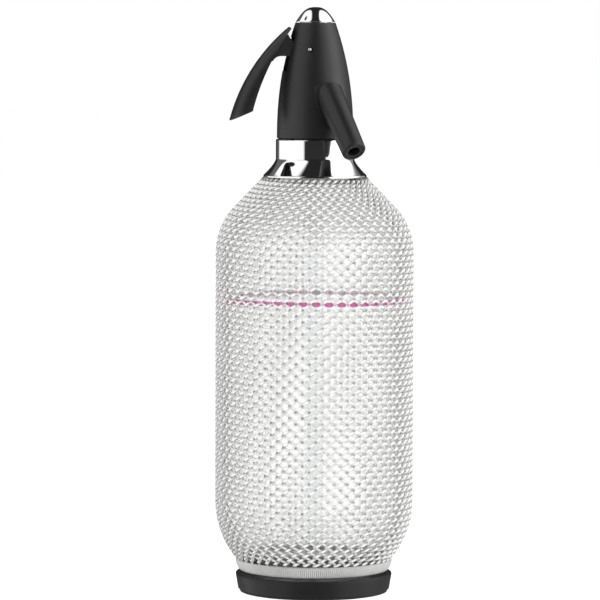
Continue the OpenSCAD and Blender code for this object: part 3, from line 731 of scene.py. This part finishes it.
@dataclass(frozen=True)
class Jacket(Part):
    """The chain-link jacket: upright flattened spirals, each hooked into its two neighbours.

    Its middle surface is mid out from the glass, from low degrees down the base curve up to the height top.
    """

    shape: BottleShape = BottleShape()
    spirals: int = 96
    quarters: int = 4
    pitch: float = 6.4
    wire: float = 0.67
    mid: float = 2.225
    swing: float = 1.0
    hook: float = 0.64
    low: float = 40.2
    top: float = 227.2
    drift: int = 1
    peak: float = 0.97
    snap: float = 2.4
    beat: Tuple[float, ...] = (0.02, 0.13, 0.19, 0.235, 0.265, 0.31, 0.37, 0.48,
                               0.52, 0.63, 0.69, 0.735, 0.765, 0.81, 0.87, 0.98)
    # Painted shade: a dark spot round each hook, fading inwards, and a painted shadow under the flange.
    spot: float = 0.85
    shaded: float = 1.1
    mid_shade: float = 0.6
    fade: float = 0.8
    hem_turns: int = 248
    hem_steps: int = 14
    hem_wire: float = 0.5
    hem_r: float = 41.5
    hem_z: float = 15.1
    hem_lean: float = 22.3
    hem_tall: float = 3.4
    hem_thick: float = 1.3
    # How far the hem coil is evenly darkened.
    hem_darkening: float = 0.4
    ring_wire: float = 0.55
    ring_down: float = 1.6
    # Painted shade on the gathering wire, which sits under the flange.
    ring_shade: float = 0.8

    @property
    def ends(self) -> Tuple[float, float, float, float]:
        """The climbs at which base curve, wall, shoulder curve and slope end."""
        b = self.shape
        base = (b.base_round + self.mid) * math.radians(self.low)
        wall = base + b.high_z - b.low_z
        r_high = b.shoulder_round + self.mid
        shoulder = wall + r_high * b.turn
        rest = (self.top - b.high_z - r_high * math.sin(b.turn)) / math.cos(b.turn)
        return base, wall, shoulder, shoulder + rest

    @property
    def length(self) -> float:
        """Length of the climb from the low edge to the top edge."""
        return self.ends[3]

    @property
    def steps(self) -> Tuple[Arr, float]:
        """A spiral's turns at each of its steps, beat in each turn, and the pitch that makes them whole."""
        turns = int(self.length / self.pitch)
        return (np.arange(turns)[:, None] + self.beat).ravel(), self.length / turns

    def climb(self, s: Arr) -> Tuple[Arr, Arr, Arr]:
        """The jacket's middle surface at a climb of s millimetres from its low edge.

        Base curve, then wall, then shoulder curve, then the straight slope.

        Args:
            s: Climb, any shape.

        Returns:
            Radius, height and the slope angle of the normal, each like s.
        """
        b = self.shape
        r_low, r_high = b.base_round + self.mid, b.shoulder_round + self.mid
        base, wall, shoulder, _ = self.ends
        on_base = s < base
        t = np.where(on_base, (s - base) / r_low, np.clip((s - wall) / r_high, 0.0, b.turn))
        r = np.where(on_base, b.low_c[0] + r_low * np.cos(t), b.high_c[0] + r_high * np.cos(t))
        z = np.where(on_base, b.low_z + r_low * np.sin(t),
                     np.where(s < wall, b.low_z + s - base, b.high_z + r_high * np.sin(t)))
        past = np.maximum(0.0, s - shoulder)
        return r - past * math.sin(b.turn), z + past * math.cos(b.turn), t

    def lines(self) -> Tuple[Arr, Arr]:
        """Centre lines of all spirals.

        Across = a asin(peak sin 2 pi u) / asin peak, a smoothed zigzag, a = half the spacing plus the hook;
        depth = swing tanh(snap cos 2 pi u) / tanh snap, outside on the legs that rise to the right; climb =
        pitch u. Each spiral is half a turn out of step with the next; the rows sink drift pitches a round.

        Returns:
            Points and outward directions, spirals by steps by 3.
        """
        u, pitch = self.steps
        r, z, t = self.climb(u * pitch)
        side = np.arange(self.spirals)[:, None]
        w = 2 * np.pi * (u + 0.5 * (side % 2) + self.drift * side / self.spirals)
        across = np.arcsin(self.peak * np.sin(w)) / math.asin(self.peak)
        depth = self.swing * np.tanh(self.snap * np.cos(w)) / math.tanh(self.snap)
        step = np.pi / self.spirals
        angle = 2 * step * side + across * (step + self.hook / r)
        points = polar(r + depth * np.cos(t), angle, z + depth * np.sin(t))
        return points, polar(np.cos(t), angle, np.sin(t))

    def mark_hooks(self, obj: Object, rings: Arr) -> None:
        """Stores on each vertex how much painted shade darkens it.

        That is exp(-(e / spot)^2) outside, fading to none inside, or exp(-(h / shaded)^2) if larger: e is the
        distance along the surface to the nearest hook, and h the distance down from the top edge. Hooks stand
        in columns at odd multiples of the half spacing, a pitch apart, half a pitch off in the next column.
        The first is painted shade in the hooks, where the wires cover each other, and the second a painted
        shadow under the flange.

        Args:
            obj: The piece whose vertices start with these rings.
            rings: Lines by steps by sides by 3.
        """
        x, y, z = np.moveaxis(rings, -1, 0)
        r, angle, step = np.hypot(x, y), np.arctan2(y, x), np.pi / self.spirals
        column = np.round((angle / step - 1) / 2)
        across = (angle - (2 * column + 1) * step) * r
        u, pitch = self.steps
        s = u[:, None] * pitch
        mid_r, mid_z, t = self.climb(s)
        s = s + (z - mid_z) * np.cos(t) - (r - mid_r) * np.sin(t)
        out = (r - mid_r) * np.cos(t) + (z - mid_z) * np.sin(t)
        turns = s / pitch - 0.25 + 0.5 * (column % 2) + self.drift * (column + 0.5) / self.spirals
        up = (turns - np.round(turns)) * pitch
        # Painted shade round each hook, where the wires cover each other.
        spot = np.exp(-(across ** 2 + up ** 2) / self.spot ** 2)
        outside = np.clip(self.mid_shade + out / self.fade, 0.0, 1.0)
        # Painted shadow under the flange, darkest at the top edge.
        flange_shadow = np.exp(-(np.maximum(0.0, self.length - s) / self.shaded) ** 2)
        self.mark(obj, np.maximum(spot * outside, flange_shadow).ravel())

    @staticmethod
    def mark(obj: Object, darkening: Arr) -> None:
        """Stores how far an object's first vertices are darkened in its "hook" attribute; the others are not
        darkened.
        """
        made = obj.data.attributes.new("hook", "FLOAT", "POINT")
        value = np.zeros(len(obj.data.vertices), np.float32)
        value[:len(darkening)] = darkening
        made.data.foreach_set("value", value)

    def hem(self) -> Tuple[Arr, Arr]:
        """Centre line of the close-wound coil round the low edge.

        A leaning flattened oval, hem_tall and hem_thick from its middle to its outside, that is carried round
        the jacket while the coil turns hem_turns times.

        Returns:
            Points and directions along the hem, 1 by steps by 3.
        """
        a = circle(self.hem_steps * self.hem_turns)
        c, s = np.cos(a * self.hem_turns), np.sin(a * self.hem_turns)
        p = (self.hem_thick - self.hem_wire) * np.sign(c) * np.abs(c) ** 0.9
        q = (self.hem_tall - self.hem_wire) * np.sign(s) * np.abs(s) ** 0.8
        lean = math.radians(self.hem_lean)
        r = self.hem_r + p * math.cos(lean) + q * math.sin(lean)
        z = self.hem_z - p * math.sin(lean) + q * math.cos(lean)
        return polar(r, a, z)[None], polar(1.0, a + np.pi / 2, 0.0)[None]

    def build(self, dress: Dresser) -> None:
        """Makes the spirals in quarters, then the coil at the hem and the wire that gathers the top."""
        points, up = (np.split(part, self.quarters) for part in self.lines())
        for k in range(self.quarters):
            made, rings = wires(f"jacket_spirals_{k + 1}", points[k], up[k], self.wire)
            self.mark_hooks(made, rings)
            stands_for = ("mesh_inner_wires", "mesh_outer_wires") if k == 0 else ()
            dress.piece(made, Body.BOTTLE, Slot.MESH, *stands_for)
        a = circle(240)
        r, z, _ = self.climb(np.array(self.length - self.ring_down))
        gather = polar(r, a, z)[None], polar(1.0, a, 0.0)[None]
        # The hem coil is darkened evenly; the gathering wire under the flange is darkened all over as painted
        # shade.
        for name, node, (line, up), wire, sides, darkening in (
                ("jacket_hem_coil", "mesh_hem_band", self.hem(), self.hem_wire, 6, self.hem_darkening),
                ("jacket_gathering_wire", "mesh_top_ring", gather, self.ring_wire, 10, self.ring_shade)):
            made, rings = wires(name, line, up, wire, sides, closed=True)
            self.mark(made, np.full(rings[..., 0].size, darkening))
            dress.piece(made, Body.BOTTLE, Slot.MESH, node)


# ---- the metal and moulded parts


@dataclass(frozen=True)
class Collar(Part):
    """The chrome collar, lathe-turned, with its concave flare and threaded tube."""

    shape: BottleShape = BottleShape()
    flange_r: float = 28.4
    flange_z: float = 228.3
    radius: float = 21.5
    flare: float = 8.8
    bow: float = 1.4
    rim: float = 1.2
    shelf: float = 246.2
    top: float = 249.0
    tube: float = 16.4
    bore: float = 13.6
    tube_top: float = 259.3
    recess: float = 18.75
    throat: float = 18.0
    gap: float = 0.5
    thread_turns: int = 4
    thread_pitch: float = 1.75
    thread_up: float = 1.6
    thread_wire: float = 0.3

    def build(self, dress: Dresser) -> None:
        """Makes the collar, which hugs the glass, and the ridge of its thread.

        The flare's radius is radius + (flange_r - 0.2 - radius) t^bow; t falls from 1 at the rim to 0 above.
        """
        shape, f, z = self.shape, self.flange_r, self.flange_z
        rim, flare_top = z + self.rim, z + self.rim + self.flare
        t = np.linspace(1.0, 0.0, 28)[:-1]
        flare_r = self.radius + (f - 0.2 - self.radius) * t ** self.bow
        flare = np.stack([flare_r, rim + self.flare * (1 - t)], -1)
        edge = np.vstack([soften([(f - 6, z, 0), (f, z, 0.3), (f, rim - 0.35, 0)]),
                          [[f - 0.03, rim - 0.2], [f - 0.09, rim - 0.08]]])
        top = soften([(self.radius, flare_top, 0), (self.radius, flare_top + 0.4, 0),
                      (self.radius, self.top, 0.5), (self.tube, self.top, 0.15),
                      (self.tube, self.tube_top, 0.6), (self.bore, self.tube_top, 0.4),
                      (self.bore, self.shelf, 0), (self.recess, self.shelf, 0.2),
                      (self.recess, shape.neck_top - 5.4, 0.2),
                      (self.throat, shape.neck_top - 6.6, 0)], 6)
        hug = shape.arc(shape.fillet_c, shape.fillet - self.gap, math.pi, math.pi + shape.turn, 12)
        c, s = math.cos(shape.turn), math.sin(shape.turn)
        foot = np.array([[(shape.slope + self.gap - z * s) / c, z]])
        profile = np.vstack([edge, flare, top, hug, foot])
        dress.piece(lathe("collar_chrome", profile, 160), Body.BOTTLE, Slot.CHROME, "neck_collar")
        turn = np.linspace(0.0, 2 * np.pi * self.thread_turns, 72 * self.thread_turns)
        climb = self.top + self.thread_up + self.thread_pitch * turn / (2 * np.pi)
        line = polar(self.tube - 0.05, turn, climb)[None]
        made, _ = wires("collar_thread", line, polar(1.0, turn, 0.0)[None], self.thread_wire)
        dress.piece(made, Body.BOTTLE, Slot.CHROME)


@dataclass(frozen=True)
class Nozzle(Part):
    """The slanting nozzle, a long cone that runs up into the head; a socket in its mouth holds the insert."""

    turn: float = 16.0
    reach: float = 47.7
    mouth_z: float = 243.3
    tilt: float = 45.0
    mouth_r: float = 6.6
    root_r: float = 7.6
    length: float = 45.1
    bore: float = 3.3
    socket: float = 4.7
    socket_len: float = 10.0

    def place(self, points: Arr) -> Arr:
        """Carries points from the nozzle's own axis, which is Z from its mouth, to the part.

        Tilt about Y towards the head, move out by the reach, then turn about Z.
        """
        t, a = math.radians(-self.tilt), math.radians(self.turn - 90.0)
        x = points[:, 0] * math.cos(t) + points[:, 2] * math.sin(t) + self.reach
        z = -points[:, 0] * math.sin(t) + points[:, 2] * math.cos(t) + self.mouth_z
        y = points[:, 1]
        return np.stack([x * math.cos(a) - y * math.sin(a), x * math.sin(a) + y * math.cos(a), z], -1)

    def build(self, dress: Dresser) -> None:
        """Makes the nozzle."""
        q, deep = self.socket, self.socket_len
        profile = soften([(q, 3.0, 0), (q, 0.0, 0.35), (self.mouth_r, 0.0, 1.1),
                          (self.root_r, self.length, 0.2), (self.bore, self.length, 0.2),
                          (self.bore, deep, 0), (q, deep, 0)], 7)
        dress.piece(lathe("nozzle_moulding", profile, 96, self.place), Body.HEAD, Slot.CHARCOAL, "nozzle")


@dataclass(frozen=True)
class Head(Part):
    """The moulded head and its chrome dome cap."""

    top: float = 312.8
    radius: float = 11.0
    inset: float = 0.25
    step: float = 0.3
    lip: float = 0.4
    dome_h: float = 8.2
    bulge: float = 2.7
    blunt: float = 1.2
    roof: float = 3.8
    chamber: float = 6.4
    plug_wall: float = 1.9
    plug_len: float = 6.5

    def build(self, dress: Dresser) -> None:
        """Makes the dome cap and stands a smooth copy in for the head.

        The dome's height over its lip at radius r is (dome_h - lip) (1 - (r / rim radius)^bulge)^blunt.
        """
        z0, r0 = self.top + self.step, self.radius - self.inset
        r = np.cos(np.linspace(0.0, np.pi / 2, 40))[:, None]
        rise = (1 - r ** self.bulge) ** self.blunt
        skin = np.hstack([r0 * r, z0 + self.lip + (self.dome_h - self.lip) * rise])
        skin[-1, 0] = 0.0
        plug, roof = self.top - self.plug_len, z0 + self.dome_h - self.roof
        bore, wide = self.chamber, self.chamber + self.plug_wall
        inside = soften([(0, roof, 0), (bore, roof, 0.6), (bore, plug, 0.2), (wide, plug, 0.3),
                         (wide, z0, 0.1), (r0, z0, 0.2), (r0, z0 + self.lip, 0)])
        profile = np.vstack([inside, skin[1:]])
        dress.piece(lathe("dome_cap_chrome", profile, 128), Body.HEAD, Slot.CHROME, "dome_cap")
        dress.smooth_copy("head_shell", "head_moulding", Body.HEAD, Slot.CHARCOAL)


@dataclass(frozen=True)
class Pin(Part):
    """The lever's pin, level through the head, with low domed ends."""

    back: float = 5.4
    height: float = 298.1
    half: float = 14.4
    radius: float = 1.0
    dome: float = 0.42

    def build(self, dress: Dresser) -> None:
        """Makes the pin. The dome's height at radius r is dome (1 - (r / radius)^2)."""
        r = np.linspace(0.0, 1.0, 12)[:, None]
        end = np.hstack([self.radius * r, self.half - self.dome * r ** 2])
        profile = np.vstack([end * [1.0, -1.0], end[::-1]])

        def place(points: Arr) -> Arr:
            """Lays the pin along Y at its height."""
            return np.stack([points[:, 0] - self.back, points[:, 2], points[:, 1] + self.height], -1)

        dress.piece(lathe("lever_pin_bright", profile, 48, place), Body.HEAD, Slot.CHROME, "lever_pin")


@dataclass(frozen=True)
class Trim(Part):
    """Rigid CAD nodes whose shape is right, stood in by merged and smoothly shaded copies."""

    copies: Tuple[Tuple[str, str, Body, Slot], ...] = (
        ("lever", "lever_moulding", Body.LEVER, Slot.CHARCOAL),
        ("foot_cup", "foot_cup_moulding", Body.BOTTLE, Slot.FOOT),
        ("protective_cap", "inlet_cap_moulding", Body.CAP, Slot.CHARCOAL),
        ("dip_tube", "dip_tube_clear", Body.HEAD, Slot.TUBE),
    )

    def build(self, dress: Dresser) -> None:
        """Makes the copies."""
        for node, name, body, slot in self.copies:
            dress.smooth_copy(node, name, body, slot)


# ---- the studio


def direction(azimuth: float, elevation: float) -> Vector:
    """Returns the way to a place seen at these degrees; azimuth 0 is along -Y and 90 along +X."""
    a, e = math.radians(azimuth), math.radians(elevation)
    return Vector((math.sin(a) * math.cos(e), -math.cos(a) * math.cos(e), math.sin(e)))


@dataclass(frozen=True)
class Studio:
    """The camera at the photograph's angle, the pale floor, and soft light with a dark gap in front."""

    azimuth: float = -10.0
    elevation: float = 4.03
    distance: float = 2.105
    focus_z: float = 0.1606
    axis_shift: float = 0.008
    roll: float = 0.18
    focal_px: float = 3827.0
    frame_px: float = 600.0
    sensor: float = 36.0
    lamp_aim: float = 0.16
    floor_half: float = 6.0
    floor_shade: float = 0.9
    floor_dull: float = 0.9
    floor_glow: float = 0.6
    tent: float = 1.04
    soft: float = 0.06

    @property
    def right(self) -> Vector:
        """The image's right."""
        return direction(self.azimuth + 90.0, 0.0)

    def camera(self) -> None:
        """Puts the camera on the line through the middle of the photograph."""
        data = bpy.data.cameras.new("studio_camera")
        data.sensor_width = self.sensor
        data.lens = self.focal_px / self.frame_px * self.sensor
        cam = link("studio_camera", data)
        target = Vector((0.0, 0.0, self.focus_z)) - self.right * self.axis_shift
        cam.location = target + direction(self.azimuth, self.elevation) * self.distance
        aim = (target - cam.location).to_track_quat("-Z", "Y")
        cam.rotation_euler = (aim @ Quaternion((0.0, 0.0, 1.0), math.radians(self.roll))).to_euler()
        bpy.context.scene.camera = cam

    def world(self) -> None:
        """White to the camera and through glass, an even tent to dull surfaces, and to shiny ones two bright
        sides with a dark gap between them.

        In a direction, x is across, y is towards the camera and z is up, and d = y / sqrt(1 - z^2). The gap's
        half width in x runs from 0.535 low down to 0.3 overhead. Low down the left side goes dark behind
        d = -0.66 and the right side fades from d = -0.1 to -0.6; high up it is behind -0.78, and from -0.68
        to -0.84. At middle heights the left is 0.25 dimmer and goes dark 0.6 further forward. A small dark
        flag hangs high on the left, and below the horizon the gap pales like the floor.
        """
        world = bpy.data.worlds.new("studio_world")
        bpy.context.scene.world = world
        world.use_nodes = True
        world.cycles.sampling_method = "NONE"
        g = Graph(world.node_tree)
        ray = g.node("ShaderNodeTexCoord").outputs["Generated"]

        def along(axis: Vector) -> Socket:
            """Returns the ray's component along a fixed axis."""
            made = g.node("ShaderNodeVectorMath", {0: ray, 1: tuple(axis)}, operation="DOT_PRODUCT")
            return made.outputs["Value"]

        def lift(below: float, above: float) -> Socket:
            """Returns a value that changes between z = 0.15, low down, and z = 0.45, high up."""
            return g.span(z, 0.15, 0.45, below, above)

        def edge(value: Socket, at: Socket, dark: Value = 0.0, bright: Value = 1.0) -> Socket:
            """Returns dark before a place and bright past it, with a soft edge."""
            low, high = (g.calc(sign, at, self.soft) for sign in ("SUBTRACT", "ADD"))
            return g.span(value, low, high, dark, bright)

        up = Vector((0.0, 0.0, 1.0))
        x, y, z = along(self.right), along(direction(self.azimuth, 0.0)), along(up)
        flat = g.calc("SQRT", g.calc("MAXIMUM", g.calc("SUBTRACT", 1.0, g.calc("MULTIPLY", z, z)), 0.01))
        d = g.calc("DIVIDE", y, flat)
        gap = edge(g.calc("ABSOLUTE", x), g.span(z, 0.15, 0.75, 0.535, 0.3))
        middle = g.calc("MULTIPLY", g.span(z, 0.02, 0.16), g.span(z, 0.45, 0.6, 1.0, 0.0))
        left = edge(d, g.calc("MULTIPLY_ADD", middle, 0.6, lift(-0.66, -0.78)), 0.13,
                    g.calc("MULTIPLY_ADD", middle, -0.25, 1.12))
        right = g.span(d, lift(-0.6, -0.84), lift(-0.1, -0.68), lift(0.35, 0.15), 1.4)
        sides = g.calc("MULTIPLY_ADD", g.span(x, -0.1, 0.1), g.calc("SUBTRACT", right, left), left)
        flag = g.span(along(up * 0.704 - self.right * 0.71), 0.993, 0.98)
        below = g.span(z, -0.3, 0.0, 0.25, 0.02)
        glow = g.calc("MAXIMUM", g.calc("MULTIPLY", g.calc("MULTIPLY", gap, sides), flag), below)
        path = g.node("ShaderNodeLightPath").outputs
        clear = g.calc("MAXIMUM", path["Is Camera Ray"], path["Is Transmission Ray"])
        shade = g.mix(clear, g.mix(path["Is Glossy Ray"], self.tent, glow), 1.0)
        g.feed(world.node_tree.nodes["Background"], {"Color": WHITE, "Strength": shade})

    def floor(self) -> None:
        """A plain pale floor; its own white shows to the camera, and the object's shadow stays on it."""
        h = self.floor_half
        mesh = bpy.data.meshes.new("studio_floor")
        mesh.from_pydata([(-h, -h, 0), (h, -h, 0), (h, h, 0), (-h, h, 0)], [], [(0, 1, 2, 3)])
        obj = link("studio_floor", mesh)
        made, g, shader = new_material("pale_floor")
        path = g.node("ShaderNodeLightPath").outputs
        seen = g.calc("MAXIMUM", g.calc("MAXIMUM", path["Is Camera Ray"], path["Is Glossy Ray"]),
                      path["Is Transmission Ray"])
        g.feed(shader, {"Base Color": (*[self.floor_shade] * 3, 1.0), "Roughness": self.floor_dull,
                        "Specular IOR Level": 0.0, "Emission Color": WHITE,
                        "Emission Strength": g.calc("MULTIPLY", seen, self.floor_glow)})
        mesh.materials.append(made)
        obj.visible_glossy = False

    def lamp(self, name: str, azimuth: float, elevation: float, distance: float, size: Tuple[float, float],
             watts: float, mirrored: bool = True) -> None:
        """Adds a soft box that faces the object.

        Args:
            name: The lamp's name.
            azimuth: Degrees to the right of the camera's own direction.
            elevation: Degrees above the floor.
            distance: Metres from the object.
            size: Width and height in metres.
            watts: Power.
            mirrored: Whether surfaces mirror it.
        """
        data = bpy.data.lights.new(name, "AREA")
        data.shape, data.size, data.size_y, data.energy = "RECTANGLE", size[0], size[1], watts
        lamp = link(name, data)
        lamp.visible_glossy = mirrored
        aim = Vector((0.0, 0.0, self.lamp_aim))
        lamp.location = aim + distance * direction(self.azimuth + azimuth, elevation)
        lamp.rotation_euler = (aim - lamp.location).to_track_quat("-Z", "Y").to_euler()

    def build(self) -> None:
        """Sets up the whole studio."""
        bpy.context.scene.view_settings.view_transform = "Standard"
        self.camera()
        self.world()
        self.floor()
        self.lamp("right_box", 80.0, 18.0, 1.6, (0.9, 1.2), 5.0)
        self.lamp("left_box", -75.0, 22.0, 1.8, (0.9, 1.2), 0.8)
        self.lamp("front_fill", 0.0, 16.0, 2.5, (2.6, 1.6), 8.0, mirrored=False)


def main() -> None:
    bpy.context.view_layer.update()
    Studio().build()
    dress = Dresser()
    dress.nodes()
    for part in (Bottle(), Jacket(), Collar(), Nozzle(), Head(), Pin(), Trim()):
        part.build(dress)


if __name__ == "__main__":
    main()
